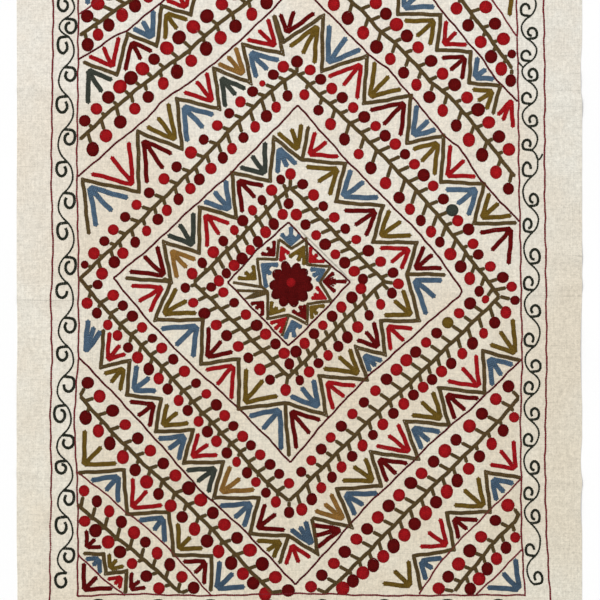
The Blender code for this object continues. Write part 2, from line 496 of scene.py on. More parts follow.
# Two sides of a zigzag shorter than this together draw the arrow's gap and rows in, by these shares
FULL_SIDES = 130.0
GAP_FOLLOWS = 0.45
PITCH_FOLLOWS = 0.25

# Clearances: of a stroke from lines and from berries, and of a berry from the inner side lines
LINE_CLEARANCE = 4.5
BERRY_CLEARANCE = 3.0
SIDE_CLEARANCE = 2.6
SHORTEST_STROKE = 9.0

# Berries: how their places and radii vary, and how far an upright one and another are drawn out
BERRY_STRAY = 0.8
BERRY_WAVER = 1.2
BERRY_DRAWN = (1.0, 1.12)
BERRY_ROUND = (0.96, 1.05)
# Twigs: how much they lean to the nearest way, how far along that they look for the stem, the
# longest from the berry's middle, the shortest outside the berry, and their start inside its edge
TWIG_LEAN = 0.65
TWIG_SEARCH = 90.0
LONGEST_TWIG = 45.0
SHORTEST_TWIG = 3.0
TWIG_INSIDE = 1.0

# Two ways count as parallel below this cross product, and a leg is met by this share past its ends
PARALLEL = 1e-6
LEG_SLACK = 0.02


def unit(x, y):
    """A vector's direction, as a vector of length 1."""
    length = math.hypot(x, y) or 1.0
    return x / length, y / length


def turned(x, y, angle):
    """A vector turned anticlockwise by an angle in radians."""
    return x * math.cos(angle) - y * math.sin(angle), x * math.sin(angle) + y * math.cos(angle)


def partly(value, share):
    """A factor that follows a value by a share: it is 1 where the value is 1."""
    return 1.0 - share + share * value


def smooth_curve(points, steps):
    """A curve through the points, rounded at each of them (Catmull-Rom)."""
    before_first = tuple(2 * a - b for a, b in zip(points[0], points[1]))
    after_last = tuple(2 * a - b for a, b in zip(points[-1], points[-2]))
    ends = [before_first] + list(points) + [after_last]
    curve = []
    for before, start, end, after in zip(ends, ends[1:], ends[2:], ends[3:]):
        for i in range(steps):
            t = i / steps
            curve.append(tuple(
                0.5 * (2 * s + (e - b) * t + (2 * b - 5 * s + 4 * e - a) * t * t
                       + (3 * s - b - 3 * e + a) * t ** 3)
                for b, s, e, a in zip(before, start, end, after)
            ))
    curve.append(points[-1])
    return curve


def even_places(path, count):
    """Places of a number of berries along a row, evenly between the points that it passes."""
    if count == 1:
        return [path[0]]
    curve = smooth_curve(path, BERRY_STEPS)
    last = len(curve) - 1
    return [curve[round(last * i / (count - 1))] for i in range(count)]


def wavered(points, hand, amount=HAND_WAVER):
    """The line with a slow and a quick waver to its sides, as a hand draws it."""
    slow = hand.uniform(0.0, WAVE_START)
    quick = hand.uniform(0.0, WAVE_START)
    result = []
    run = 0.0
    for start, end in zip(points, points[1:]):
        length = math.dist(start, end)
        nx, ny = unit(start[1] - end[1], end[0] - start[0])
        pieces = max(1, round(length / WAVER_STEP))
        for i in range(pieces):
            t = i / pieces
            place = run + length * t
            quick_part = QUICK_SHARE * math.sin(place / QUICK_WAVE + quick)
            off = amount * (math.sin(place / SLOW_WAVE + slow) + quick_part)
            x = start[0] + (end[0] - start[0]) * t + nx * off
            y = start[1] + (end[1] - start[1]) * t + ny * off
            result.append((x, y))
        run += length
    result.append(points[-1])
    return result


def meeting(start, direction, first, second):
    """How far along a direction a straight run meets the leg between two points, or None."""
    dx, dy = direction
    ex, ey = second[0] - first[0], second[1] - first[1]
    cross = dx * ey - dy * ex
    if abs(cross) < PARALLEL:
        return None
    gap_x, gap_y = first[0] - start[0], first[1] - start[1]
    along = (gap_x * ey - gap_y * ex) / cross
    share = (gap_x * dy - gap_y * dx) / cross
    return along if along > 0.0 and -LEG_SLACK <= share <= 1.0 + LEG_SLACK else None


def nearest_on_leg(point, first, second):
    """The place nearest to a point on the leg between two points."""
    ex, ey = second[0] - first[0], second[1] - first[1]
    share = ((point[0] - first[0]) * ex + (point[1] - first[1]) * ey) / (ex * ex + ey * ey)
    share = min(1.0, max(0.0, share))
    return (first[0] + ex * share, first[1] + ey * share)


def side_x(column, y):
    """Where one of the long side lines runs at a height."""
    for low, high in zip(SIDE_LINES[1:], SIDE_LINES):
        if low[0] <= y <= high[0]:
            t = (y - low[0]) / (high[0] - low[0])
            return low[column] + (high[column] - low[column]) * t
    raise ValueError(f"The side lines don't reach a height of {y}")


# Lines that no arrow crosses: among them the inner one of each pair of end lines
FENCES = DIAMOND_LINES + CORNER_LINES + END_LINES[::2] + tuple(
    tuple((row[column], row[0]) for row in SIDE_LINES) for column in (INNER_LEFT, INNER_RIGHT)
)


class Chart:
    """Everything that is stitched: strokes as their kind, points, number of rows, thread and pitch,
    and berries as x, y, half length, half width, lean and thread."""

    def __init__(self):
        self.hand = random.Random(7)
        self.strokes = []
        self.berries = []

    def stroke(self, kind, points, rows, thread, pitch):
        self.strokes.append((kind, list(points), rows, thread, pitch))

    def add_lines(self):
        sides = []
        for column in (OUTER_LEFT, INNER_LEFT, INNER_RIGHT, OUTER_RIGHT):
            reach = END_SCROLL if column in (INNER_LEFT, INNER_RIGHT) else math.inf
            sides.append([(row[column], row[0]) for row in SIDE_LINES if abs(row[0]) < reach])
        for places in (*sides, *END_LINES):
            line = wavered(smooth_curve(places, LINE_STEPS), self.hand)
            self.stroke("lines", line, 1, "rose", LINE_PITCH)
        for places in DIAMOND_LINES:
            self.stroke("lines", wavered(places, self.hand), 1, "crimson", DIAMOND_PITCH)
        for places in CORNER_LINES:
            self.stroke("lines", wavered(places, self.hand), 1, "rose", LINE_PITCH)

    def add_scroll(self, curls, to_point, attach, size):
        """One scroll: its curls, and a vine that bulges away from each. attach is -1 where a curl
        springs from the joint before it and +1 where it springs from the joint after it."""
        joints = [
            (place - attach * CURL_TALL * size * tall, -side * JOINT_REACH) for place, side, tall in curls
        ]
        pitch = CURL_PITCH * partly(size, CURL_PITCH_FOLLOWS)
        for (joint, offset), (place, side, tall) in zip(joints, curls):
            wide = CURL_WIDE * size * self.hand.uniform(*CURL_VARIES)
            tall *= CURL_TALL * size
            points = [to_point(joint, offset)]
            for degrees, share in CURL_SHAPE[:len(CURL_SHAPE) - self.hand.choice(CURL_STOPS)]:
                angle = math.radians(degrees)
                across = side * (CURL_REACH * size - share * wide * math.cos(angle))
                points.append(to_point(place - attach * share * tall * math.sin(angle), across))
            self.stroke("scrolls", smooth_curve(points, SCROLL_STEPS), 2, "ink", pitch)
        for (joint, offset), (after, next_offset), (_, side, _) in zip(joints, joints[1:], curls):
            vine = []
            for i in range(BULGE_STEPS + 1):
                t = i / BULGE_STEPS
                bulge = -side * VINE_BULGE * math.sin(math.pi * t) ** BULGE_POWER
                bulge += (offset + (next_offset - offset) * t) * abs(math.cos(math.pi * t))
                vine.append(to_point(joint + (after - joint) * t, bulge))
            self.stroke("scrolls", smooth_curve(vine, SCROLL_STEPS), 1, "ink", VINE_PITCH)

    def add_scrolls(self):
        def left(along, across):
            middle = (side_x(OUTER_LEFT, along) + side_x(INNER_LEFT, along)) / 2
            return middle + LEFT_SHIFT + across, along

        def right(along, across):
            middle = (side_x(INNER_RIGHT, along) + side_x(OUTER_RIGHT, along)) / 2
            return middle + RIGHT_SHIFT + across, along

        def top(along, across):
            return along, END_SCROLL - across

        def bottom(along, across):
            return along, -END_SCROLL + across

        self.add_scroll(LEFT_CURLS, left, -1, 1.0)
        self.add_scroll(RIGHT_CURLS, right, 1, RIGHT_SIZE)
        self.add_scroll(END_CURLS, top, -1, END_SIZE)
        self.add_scroll(END_CURLS, bottom, -1, END_SIZE)
        for hook in HOOKS:
            self.stroke("scrolls", smooth_curve(hook, HOOK_STEPS), 1, "ink", VINE_PITCH)

    def clear_run(self, start, direction, length):
        """How far a stroke runs before it would come up to a line or to a berry."""
        dx, dy = direction
        for line in FENCES:
            for first, second in zip(line, line[1:]):
                along = meeting(start, direction, first, second)
                if along is not None:
                    length = min(length, along - LINE_CLEARANCE)
        for x, y, reach, *_ in self.berries:
            along = (x - start[0]) * dx + (y - start[1]) * dy
            aside = (x - start[0]) * dy - (y - start[1]) * dx
            room = reach + BERRY_CLEARANCE
            if along > 0.0 and abs(aside) < room:
                length = min(length, along - math.sqrt(room * room - aside * aside))
        return max(length, SHORTEST_STROKE)

    def add_arrow(self, corner, neighbour_a, neighbour_b, thread):
        """Three strokes that meet in a point, nested in the angle at a corner."""
        ax, ay = unit(neighbour_a[0] - corner[0], neighbour_a[1] - corner[1])
        bx, by = unit(neighbour_b[0] - corner[0], neighbour_b[1] - corner[1])
        wx, wy = unit(ax + bx, ay + by)
        half = math.acos(max(-1.0, min(1.0, ax * wx + ay * wy)))
        side_a = math.dist(corner, neighbour_a)
        side_b = math.dist(corner, neighbour_b)
        small = min(1.0, (side_a + side_b) / FULL_SIDES)
        gap = ARROW_GAP * partly(small, GAP_FOLLOWS) / max(LEAST_SINE, math.sin(half))
        tip = (corner[0] + ZIGZAG_SHIFT[0] + wx * gap, corner[1] + ZIGZAG_SHIFT[1] + wy * gap)
        pitch = ARROW_PITCHES[thread] * partly(small, PITCH_FOLLOWS)
        closing = ARROW_CLOSING if ax * by - ay * bx > 0 else -ARROW_CLOSING
        for way, length, bend in (
            ((ax, ay), side_a * ARROW_SIDE_SHARE, closing),
            ((bx, by), side_b * ARROW_SIDE_SHARE, -closing),
            ((wx, wy), (side_a + side_b) / 2 * ARROW_MIDDLE_SHARE, 0.0),
        ):
            length *= self.hand.uniform(*ARROW_VARIES)
            way = turned(*way, bend + self.hand.uniform(-ARROW_LEAN, ARROW_LEAN))
            length = self.clear_run(tip, way, length)
            end = (tip[0] + way[0] * length, tip[1] + way[1] * length)
            self.stroke("arrows", wavered([tip, end], self.hand), 3, thread, pitch)

    def add_zigzags(self):
        for run in ZIGZAGS:
            line = [(x + ZIGZAG_SHIFT[0], y + ZIGZAG_SHIFT[1]) for x, y, _ in run]
            self.stroke("zigzags", wavered(line, self.hand), 3, "umber", ZIGZAG_PITCH)
            for before, corner, after in zip(run, run[1:], run[2:]):
                if corner[2] != "-":
                    self.add_arrow(corner[:2], before[:2], after[:2], corner[2])
        for x, y, ax, ay, bx, by, thread in CORNER_ARROWS:
            self.add_arrow((x, y), (ax, ay), (bx, by), thread)

    def add_vines(self):
        for vine in VINES:
            radius, stem = vine[:2]
            self.stroke("stems", wavered(stem, self.hand), 3, "umber", STEM_PITCH)
            for count, letters, dx, dy, *path in vine[2:]:
                for i, (x, y) in enumerate(even_places(path, count)):
                    x += self.hand.uniform(-BERRY_STRAY, BERRY_STRAY)
                    y += self.hand.uniform(-BERRY_STRAY, BERRY_STRAY)
                    letter = letters[i % len(letters)]
                    size = radius * (SMALL_BERRY if letter.islower() else 1.0)
                    thread = THREAD_LETTERS[letter.upper()]
                    self.add_berry(x, y, size, unit(dx, dy), thread)
                    self.add_twig((x, y), size, unit(dx, dy), stem)

    def add_berry(self, x, y, radius, direction, thread):
        """A round berry, or one drawn out a little along its twig, kept inside the side lines."""
        radius += self.hand.uniform(-BERRY_WAVER, BERRY_WAVER)
        room = min(x - side_x(INNER_LEFT, y), side_x(INNER_RIGHT, y) - x) - SIDE_CLEARANCE
        if radius > room:
            x += math.copysign((radius - room) / 2, -x)
            radius = max(SMALL_BERRY * radius, (radius + room) / 2)
        upright = abs(direction[1]) > abs(direction[0])
        drawn = self.hand.uniform(*(BERRY_DRAWN if upright else BERRY_ROUND))
        lean = math.atan2(direction[1], direction[0])
        self.berries.append((x, y, radius * drawn, radius / drawn, lean, thread))

    def add_twig(self, berry, radius, direction, stem):
        """The twig from a berry to the stem: along its direction, but leaning to the nearest way."""
        legs = list(zip(stem, stem[1:]))
        feet = [nearest_on_leg(berry, *leg) for leg in legs]
        foot = min(feet, key=lambda place: math.dist(place, berry))
        way_x, way_y = unit(foot[0] - berry[0], foot[1] - berry[1])
        dx, dy = unit(direction[0] + TWIG_LEAN * way_x, direction[1] + TWIG_LEAN * way_y)
        met = [meeting(berry, (dx, dy), *leg) for leg in legs]
        reach = min((along for along in met if along is not None), default=TWIG_SEARCH)
        if reach >= TWIG_SEARCH:
            dx, dy = way_x, way_y
            reach = math.dist(foot, berry)
        if radius + SHORTEST_TWIG < reach < LONGEST_TWIG:
            ends = [
                (berry[0] + dx * along, berry[1] + dy * along) for along in (radius - TWIG_INSIDE, reach)
            ]
            self.stroke("stems", ends, 3, "umber", TWIG_PITCH)

    def add_star(self):
        self.stroke("zigzags", wavered(STAR, self.hand, STAR_WAVER), 2, "umber", STAR_PITCH)
        for line in (*STAR_STUBS, STAR_LEAF):
            self.stroke("zigzags", line, 2, "umber", STAR_PITCH)
        for tip, *ends, thread in STAR_FANS:
            self.add_fan(tip, ends, thread)

    def add_fan(self, tip, ends, thread):
        """A solid fan: rows spread from its tip to its fingers, with shorter rows between them."""
        pitch = ARROW_PITCHES[thread]
        for end in ends:
            ux, uy = unit(end[0] - tip[0], end[1] - tip[1])
            for side in (-1, 0, 1):
                back = FAN_ROUNDING if side else 0.0
                x = end[0] - uy * side * pitch - ux * back
                y = end[1] + ux * side * pitch - uy * back
                self.stroke("arrows", (tip, (x, y)), 1, thread, pitch)
        for (ax, ay), (bx, by) in zip(ends, ends[1:]):
            for share in FAN_FILL_PLACES:
                x = tip[0] + (ax + (bx - ax) * share - tip[0]) * FAN_FILL
                y = tip[1] + (ay + (by - ay) * share - tip[1]) * FAN_FILL
                self.stroke("arrows", (tip, (x, y)), 1, thread, pitch)

    def build(self):
        self.add_lines()
        self.add_scrolls()
        self.add_vines()
        self.add_zigzags()
        self.add_star()
        return self


# The ground cloth, in metres: the size, creases and puckers of its solid. The sheet is thinner
# than the solid, which stands for the stitches too
WIDTH = 1.130
LENGTH = 1.500
MARGIN = 0.072
SHEET_THICKNESS = 0.0010
HEM_DEPTH = 0.014
HEM_STEP = 0.003
HEM_RISE = 0.0007
CREASE_HALF = 0.018
END_REACH = 0.060
# How far right of the cloth's middle the chart's middle lies
CHART_SHIFT = 0.0014

#   y at left, y at right, rise in the margins, rise across the embroidery
CREASES = (
    (-0.378, -0.396, 0.0022, 0.0009),
    (-0.030, -0.002, 0.0024, 0.0008),
    (0.390, 0.368, 0.0020, 0.0009),
)
# Soft puckers: x, y, half reach along x, half reach along y, rise
PUCKERS = (
    (0.545, 0.410, 0.110, 0.030, 0.0026),
    (0.550, 0.352, 0.130, 0.026, 0.0030),
    (0.535, 0.056, 0.120, 0.030, 0.0028),
    (0.555, -0.130, 0.060, 0.090, 0.0022),
    (0.550, -0.440, 0.090, 0.045, 0.0026),
    (-0.520, -0.500, 0.026, 0.120, 0.0024),
    (-0.535, 0.180, 0.050, 0.150, 0.0016),
    (-0.540, -0.230, 0.045, 0.100, 0.0018),
    (-0.180, 0.730, 0.160, 0.045, 0.0022),
    (0.260, -0.728, 0.150, 0.045, 0.0022),
)
# Where a selvedge draws in: side (-1 left, +1 right), y, half reach, depth
EDGE_DIPS = (
    (1, 0.420, 0.075, 0.0030),
    (1, -0.132, 0.120, 0.0032),
    (1, -0.352, 0.050, 0.0026),
    (1, -0.445, 0.050, 0.0030),
    (-1, 0.330, 0.260, 0.0008),
    (-1, -0.100, 0.120, 0.0014),
    (-1, -0.620, 0.120, 0.0016),
)
# Where an end draws in: end (-1 bottom, +1 top), x, half reach, depth
END_DIPS = (
    (1, -0.200, 0.220, 0.0040),
    (1, 0.380, 0.160, 0.0030),
    (-1, 0.060, 0.300, 0.0040),
    (-1, -0.420, 0.120, 0.0028),
)
# Fine waves that the stitching pulls into the cloth: wave lengths along x and y, height, and start
STITCH_WAVES = (
    (0.061, 0.083, 0.00022, 0.4),
    (0.037, 0.049, 0.00016, 1.9),
    (0.118, 0.071, 0.00026, 3.1),
)
# How much each wave bends, and the stretch over which they die out at the ends
WAVE_BEND = 0.7
WAVE_END = 0.05

# The sheet's mesh: distance between columns and between rows, from an end to the next row, and
# rows across a crease as shares of its half width
MESH_STEP = 0.0105
END_ROW = 0.0025
CREASE_ROWS = (-1.0, -0.72, -0.46, -0.22, 0.0, 0.22, 0.46, 0.72, 1.0)
SHARP_EDGE = math.radians(50.0)
# Where what faces down lies in the texture map, and how small
DOWN_CORNER = (0.80, 0.02)
DOWN_SIZE = 0.15


def bump(distance, reach):
    """A soft hump: 1 at its middle, falling to 0 at its reach."""
    t = np.clip(np.abs(distance / reach), 0.0, 1.0)
    return (1.0 - t * t) ** 2


def smooth_step(value, start, end):
    """0 before start, 1 past end, and a smooth rise between them."""
    t = np.clip((value - start) / (end - start), 0.0, 1.0)
    return t * t * (3.0 - 2.0 * t)


def crease_lift(x, y):
    """How far the storage creases lift the cloth."""
    lift = np.zeros_like(x)
    across = x / WIDTH + 0.5
    in_margin = smooth_step(np.abs(x), WIDTH / 2 - 2.0 * MARGIN, WIDTH / 2 - 0.5 * MARGIN)
    for left, right, margin_rise, field_rise in CREASES:
        line = left + (right - left) * across
        lift += (field_rise + (margin_rise - field_rise) * in_margin) * bump(y - line, CREASE_HALF)
    return lift


def pucker_lift(x, y):
    """How far the soft puckers lift the cloth."""
    lift = np.zeros_like(x)
    for px, py, reach_x, reach_y, rise in PUCKERS:
        lift += rise * bump(x - px, reach_x) * bump(y - py, reach_y)
    return lift


def stitch_lift(x, y):
    """Small hollows and swells between the motifs. They never dip below the flat cloth."""
    lift = np.zeros_like(x)
    for wave_x, wave_y, height, start in STITCH_WAVES:
        turn_x = 2.0 * math.pi * x / wave_x + start
        turn_y = 2.0 * math.pi * y / wave_y - start
        lift += height * (0.5 + 0.5 * np.sin(turn_x + WAVE_BEND * np.sin(turn_y)) * np.cos(turn_y))
    return lift * smooth_step(LENGTH / 2 - np.abs(y), 0.0, WAVE_END)


def cloth_lift(x, y):
    """How far the underside of the cloth is off the surface at a point."""
    return crease_lift(x, y) + pucker_lift(x, y) + stitch_lift(x, y)


def drawn_in(x, y):
    """The point moved to where the wavering selvedges and ends put it."""
    side = np.sign(x)
    end = np.sign(y)
    at_side = smooth_step(np.abs(x), WIDTH / 2 - MARGIN, WIDTH / 2)
    at_end = smooth_step(np.abs(y), LENGTH / 2 - END_REACH, LENGTH / 2)
    inward_x = sum(np.where(side == s, d * bump(y - py, reach), 0.0) for s, py, reach, d in EDGE_DIPS)
    inward_y = sum(np.where(end == e, d * bump(x - px, reach), 0.0) for e, px, reach, d in END_DIPS)
    return x - side * at_side * inward_x, y - end * at_end * inward_y


def new_piece(name, places, faces, material):
    """An object from arrays of points and of faces."""
    mesh = bpy.data.meshes.new(name)
    mesh.from_pydata(places.tolist(), [], faces.tolist())
    mesh.materials.append(material)
    mesh.shade_smooth()
    mesh.update()
    piece = bpy.data.objects.new(name, mesh)
    bpy.context.scene.collection.objects.link(piece)
    return piece


def add_map(piece, up_count):
    """The texture map: seen from above, with the faces after the first up_count, which face down
    or to the side, shrunk into a corner."""
    mesh = piece.data
    corner_points = np.zeros(len(mesh.loops), dtype=np.int64)
    mesh.loops.foreach_get("vertex_index", corner_points)
    places = np.zeros(len(mesh.vertices) * 3)
    mesh.vertices.foreach_get("co", places)
    places = places.reshape(-1, 3)[corner_points]
    u = (places[:, 0] + WIDTH / 2) / LENGTH
    v = (places[:, 1] + LENGTH / 2) / LENGTH
    corners_of_faces = np.zeros(len(mesh.polygons), dtype=np.int64)
    mesh.polygons.foreach_get("loop_total", corners_of_faces)
    down = np.repeat(np.arange(len(mesh.polygons)) >= up_count, corners_of_faces)
    u = np.where(down, DOWN_CORNER[0] + DOWN_SIZE * u, u)
    v = np.where(down, DOWN_CORNER[1] + DOWN_SIZE * v, v)
    layer = mesh.uv_layers.new(name="OFBake")
    layer.data.foreach_set("uv", np.column_stack([u, v]).ravel())


def cloth_columns():
    """The x of each column of the sheet."""
    half = WIDTH / 2
    count = round(WIDTH / MESH_STEP)
    return np.array([-half + WIDTH * i / count for i in range(count)] + [half])


def fill_rows(rows, left, right):
    """Adds even rows between the last one and the one that comes next."""
    low_left, low_right = rows[-1]
    count = round((left - low_left) / MESH_STEP)
    for i in range(1, count):
        t = i / count
        rows.append((low_left + (left - low_left) * t, low_right + (right - low_right) * t))


def cloth_rows():
    """Rows of the sheet as y at the left and at the right. They follow the creases."""
    half = LENGTH / 2
    hem = half - HEM_DEPTH
    end_rows = (half, half - END_ROW, hem, hem - HEM_STEP)
    rows = [(-y, -y) for y in end_rows]
    for left, right, _, _ in CREASES:
        fill_rows(rows, left - CREASE_HALF, right - CREASE_HALF)
        rows += [(left + CREASE_HALF * k, right + CREASE_HALF * k) for k in CREASE_ROWS]
    fill_rows(rows, end_rows[-1], end_rows[-1])
    return np.array(rows + [(y, y) for y in reversed(end_rows)])


def add_cloth(material):
    """The ground cloth: a closed sheet on the folds of its solid."""
    columns = cloth_columns()
    rows = cloth_rows()
    x = np.tile(columns, (len(rows), 1))
    y = rows[:, :1] + (rows[:, 1:] - rows[:, :1]) * (columns / WIDTH + 0.5)
    lift = cloth_lift(x, y)
    hem_line = LENGTH / 2 - HEM_DEPTH - HEM_STEP / 2
    hem = np.where(np.abs(y) >= hem_line, HEM_RISE, 0.0)
    x, y = drawn_in(x, y)
    upper = np.stack([x, y, lift + SHEET_THICKNESS + hem], axis=-1).reshape(-1, 3)
    lower = np.stack([x, y, lift], axis=-1).reshape(-1, 3)
    count = len(upper)
    index = np.arange(count).reshape(lift.shape)
    a, b = index[:-1, :-1].ravel(), index[:-1, 1:].ravel()
    c, d = index[1:, 1:].ravel(), index[1:, :-1].ravel()
    top_faces = np.column_stack([a, b, c, d])
    low_faces = np.column_stack([d, c, b, a]) + count
    rim = np.concatenate([index[0], index[1:, -1], index[-1, -2::-1], index[-2:0:-1, 0]])
    after = np.roll(rim, -1)
    rim_faces = np.column_stack([rim, rim + count, after + count, after])
    places = np.concatenate([upper, lower])
    faces = np.concatenate([top_faces, low_faces, rim_faces])
    cloth = new_piece("suzani_cloth", places, faces, material)
    cloth.data.set_sharp_from_angle(angle=SHARP_EDGE)
    add_map(cloth, len(top_faces))
    return cloth


# One chain stitch, as shares of its length and width: along, across, and share of its height
STITCH_POINTS = np.array((
    (-0.64, 0.00, 0.0),
    (-0.26, -0.56, 0.0),
    (0.32, -0.58, 0.0),
    (0.56, 0.00, 0.0),
    (0.32, 0.58, 0.0),
    (-0.26, 0.56, 0.0),
    (0.06, -0.30, 1.0),
    (0.06, 0.30, 1.0),
    (0.08, 0.00, 0.62),
))
STITCH_TOP = np.array((
    (0, 1, 6), (1, 2, 6), (2, 3, 6), (3, 8, 6), (0, 6, 8),
    (0, 8, 7), (3, 7, 8), (0, 7, 5), (5, 7, 4), (4, 7, 3),
))
STITCH_BASE = np.array(((0, 5, 4), (0, 4, 3), (0, 3, 2), (0, 2, 1)))
STITCH_HEIGHT = 0.00085
STITCH_SINK = 0.00012
STITCH_OVERLAP = 1.34
# How stitches vary: width and height as shares, place in metres, turn in radians
STITCH_WIDTHS = (1.16, 1.34)
STITCH_HEIGHTS = (0.86, 1.12)
STITCH_STRAY = 0.00010
STITCH_TURN = 0.05
# The heart of the rosette stands higher
HEART_RISE = 1.5

# Where a line turns by more degrees than this it is cut, so that no stitch cuts the corner
SHARP_TURN = 35.0
MITRE_LIMIT = 0.35
SHORTEST_LEG = 0.8
END_ROUNDING = 2.2
# A filled round: length of its stitches, their widest turn in radians, and where the spiral ends,
# in rows from the middle
SPIRAL_STITCH = 3.8
SPIRAL_TURN = 0.9
SPIRAL_END = 0.45
# The two crossed padding stitches under a filled round: half length and width as shares of its
# reach, and height
PADDING_LONG = 0.56
PADDING_WIDE = 1.20
PADDING_RISE = 0.62
# A round's swell is painted into its colour: tone at its rim (painted shade) and at its middle (painted
# light)
RIM_PAINTED_SHADE = 0.66
MIDDLE_PAINTED_LIGHT = 1.12


def corner_legs(points):
    """The line cut into legs at its sharp turns."""
    legs = []
    leg = [points[0]]
    for before, place, after in zip(points, points[1:], points[2:]):
        leg.append(place)
        turn = abs(math.degrees(
            math.atan2(after[1] - place[1], after[0] - place[0])
            - math.atan2(place[1] - before[1], place[0] - before[0])
        )) % 360.0
        if min(turn, 360.0 - turn) > SHARP_TURN:
            legs.append(leg)
            leg = [place]
    leg.append(points[-1])
    legs.append(leg)
    return legs


def offset_line(points, distance):
    """The line moved sideways, mitred at its corners."""
    if distance == 0.0:
        return points
    moved = []
    for i, (x, y) in enumerate(points):
        before = points[max(0, i - 1)]
        after = points[min(len(points) - 1, i + 1)]
        first = unit(x - before[0], y - before[1]) if i > 0 else None
        second = unit(after[0] - x, after[1] - y) if i < len(points) - 1 else None
        first = first or second
        second = second or first
        nx = -(first[1] + second[1])
        ny = first[0] + second[0]
        share = max(MITRE_LIMIT, 0.5 * (nx * nx + ny * ny))
        moved.append((x + nx * distance / share, y + ny * distance / share))
    return moved


def cut_stitches(points):
    """Start and end of each stitch along a line, in whole stitches."""
    line = np.array(points, dtype=float)
    steps = np.hypot(*np.diff(line, axis=0).T)
    run = np.concatenate([[0.0], np.cumsum(steps)])
    total = run[-1]
    if total < SHORTEST_LEG:
        return np.zeros((0, 4))
    count = max(1, round(total / STITCH_LENGTH))
    marks = np.linspace(0.0, total, count + 1)
    x = np.interp(marks, run, line[:, 0])
    y = np.interp(marks, run, line[:, 1])
    return np.column_stack([x[:-1], y[:-1], x[1:], y[1:]])


def trimmed(points, cut):
    """The line without a short length at each end."""
    if math.dist(points[0], points[1]) <= cut or math.dist(points[-2], points[-1]) <= cut:
        return points
    result = list(points)
    for end, beside in ((0, 1), (-1, -2)):
        ux, uy = unit(result[beside][0] - result[end][0], result[beside][1] - result[end][1])
        result[end] = (result[end][0] + ux * cut, result[end][1] + uy * cut)
    return result


def stroke_stitches(points, rows, pitch):
    """Every stitch of a stroke of some rows: start, end, width, share of its height, and tone."""
    found = []
    for row in range(rows):
        line = offset_line(points, (row - (rows - 1) / 2) * pitch)
        if rows > 2 and row in (0, rows - 1):
            line = trimmed(line, END_ROUNDING)
        if row % 2:
            line = line[::-1]
        found += [cut_stitches(leg) for leg in corner_legs(line)]
    stitches = np.concatenate(found)
    return np.hstack([stitches, np.tile((pitch, 1.0, 1.0), (len(stitches), 1))])


def spiral_stitches(x, y, half_long, half_wide, lean):
    """A round or oval filled from its edge to its middle by one line of stitches, over padding, with
    painted shade at its rim and painted light at its middle.
    """
    places = []
    tones = []
    angle = 0.0
    share = 1.0 - FILL_PITCH / 2 / half_wide
    while share * half_wide > SPIRAL_END * FILL_PITCH:
        u, v = turned(half_long * share * math.cos(angle), half_wide * share * math.sin(angle), lean)
        places.append((x + u, y + v))
        # Painted shade towards the rim, painted light towards the middle
        tones.append(MIDDLE_PAINTED_LIGHT + (RIM_PAINTED_SHADE - MIDDLE_PAINTED_LIGHT) * share ** 3)
        step = min(SPIRAL_STITCH / (share * half_wide), SPIRAL_TURN)
        angle += step
        if angle > 2.0 * math.pi:
            share -= FILL_PITCH / half_wide * step / (2.0 * math.pi)
    places.append((x, y))
    line = np.array(places)
    count = len(tones)
    stitches = np.column_stack([line[:-1], line[1:], np.full(count, FILL_PITCH), np.ones(count), tones])
    padding = []
    for turn, half, side in ((lean, half_long, half_wide), (lean + math.pi / 2, half_wide, half_long)):
        dx = math.cos(turn) * PADDING_LONG * half
        dy = math.sin(turn) * PADDING_LONG * half
        padding.append((x - dx, y - dy, x + dx, y + dy, PADDING_WIDE * side, PADDING_RISE, RIM_PAINTED_SHADE))
    return np.vstack([stitches, padding])


def add_stitches(name, stitches, material, seed, height):
    """One piece of embroidery: each stitch a small closed teardrop with a groove along it."""
    dice = np.random.default_rng(seed)
    count = len(stitches)
    start = stitches[:, 0:2] * MM + (CHART_SHIFT, 0.0)
    end = stitches[:, 2:4] * MM + (CHART_SHIFT, 0.0)
    width = stitches[:, 4] * MM * dice.uniform(*STITCH_WIDTHS, count)
    middle = (start + end) / 2 + dice.normal(0.0, STITCH_STRAY, (count, 2))
    along = end - start
    length = np.hypot(along[:, 0], along[:, 1])
    along /= length[:, None]
    turn = dice.normal(0.0, STITCH_TURN, count)
    along = np.column_stack([
        along[:, 0] * np.cos(turn) - along[:, 1] * np.sin(turn),
        along[:, 0] * np.sin(turn) + along[:, 1] * np.cos(turn),
    ])
    side = np.column_stack([-along[:, 1], along[:, 0]])
    u = STITCH_POINTS[:, 0] * (length * STITCH_OVERLAP)[:, None]
    v = STITCH_POINTS[:, 1] * width[:, None]
    x = middle[:, :1] + along[:, :1] * u + side[:, :1] * v
    y = middle[:, 1:] + along[:, 1:] * u + side[:, 1:] * v
    rise = height * stitches[:, 5] * dice.uniform(*STITCH_HEIGHTS, count)
    base = cloth_lift(x, y) + SHEET_THICKNESS
    z = base - STITCH_SINK + STITCH_POINTS[:, 2] * (rise + STITCH_SINK)[:, None]
    places = np.stack([x, y, z], axis=-1).reshape(-1, 3)
    first = (np.arange(count) * len(STITCH_POINTS))[:, None, None]
    top = (STITCH_TOP + first).reshape(-1, 3)
    low = (STITCH_BASE + first).reshape(-1, 3)
    piece = new_piece(name, places, np.concatenate([top, low]), material)
    add_map(piece, len(top))
    # Tone: a filled round's painted shade at its rim and painted light at its middle, and 1 on strokes
    tones = np.repeat(stitches[:, 6], len(STITCH_POINTS))
    # Share of height, which the thread's material turns into painted shade at the foot and painted light on
    # the crest
    heights = np.tile(STITCH_POINTS[:, 2], count)
    luck = np.repeat(dice.uniform(0.0, 1.0, count), len(STITCH_POINTS))
    layer = piece.data.attributes.new("stitch", "FLOAT_VECTOR", "POINT")
    layer.data.foreach_set("vector", np.column_stack([tones, heights, luck]).ravel())
    return piece


